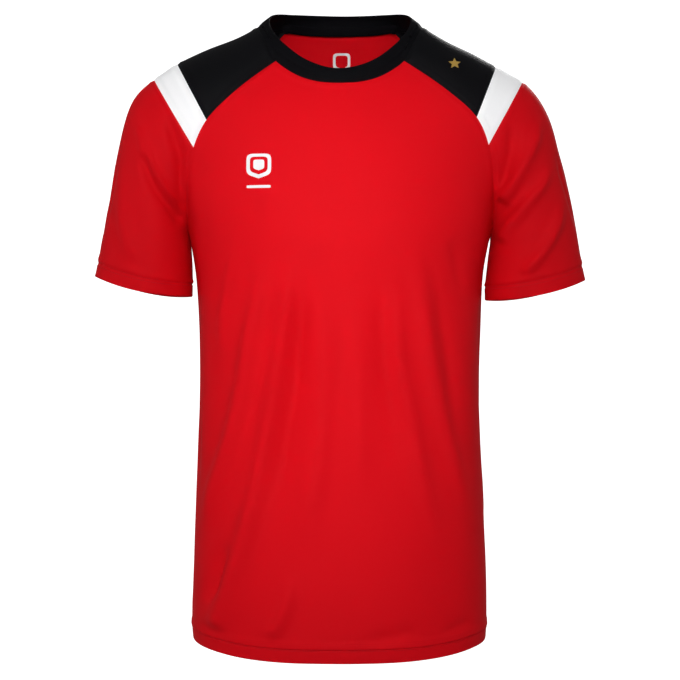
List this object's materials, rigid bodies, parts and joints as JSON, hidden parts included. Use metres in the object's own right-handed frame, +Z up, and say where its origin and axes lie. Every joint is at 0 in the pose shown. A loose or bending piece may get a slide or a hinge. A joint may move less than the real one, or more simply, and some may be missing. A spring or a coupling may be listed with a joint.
{
  "type": "football jersey",
  "caption": "Short-sleeve raglan football jersey, hollow and filled out as worn, with black shoulders, white sleeve stripes, red body and sleeves, and a black crew collar.",
  "frame": {"origin": "between the two sides of the neck, at the height of the collar seam on the shoulders, where the wearer holds it up", "axes": "+Z up along the body, +X towards the wearer's left sleeve, -Y the way the front faces"},
  "size_m": [0.5732, 0.2385, 0.749],
  "materials": {
    "red_knit": "fine polyester knit, soft sheen",
    "black_knit": "fine polyester knit, soft sheen",
    "white_knit": "fine polyester knit, soft sheen",
    "black_rib": "fine rib knit, matt",
    "black_tape": "woven twill tape, matt",
    "white_print": "flat heat-pressed film",
    "gold_print": "flat heat-pressed film"
  },
  "bodies": {
    "root": {"front": "red_knit", "back": "red_knit", "yoke_left": "black_knit", "yoke_right": "black_knit", "stripe_left": "white_knit", "stripe_right": "white_knit", "sleeve_left": "red_knit", "sleeve_right": "red_knit", "collar": "black_rib", "neck_tape": "black_tape"}
  },
  "joints": []
}
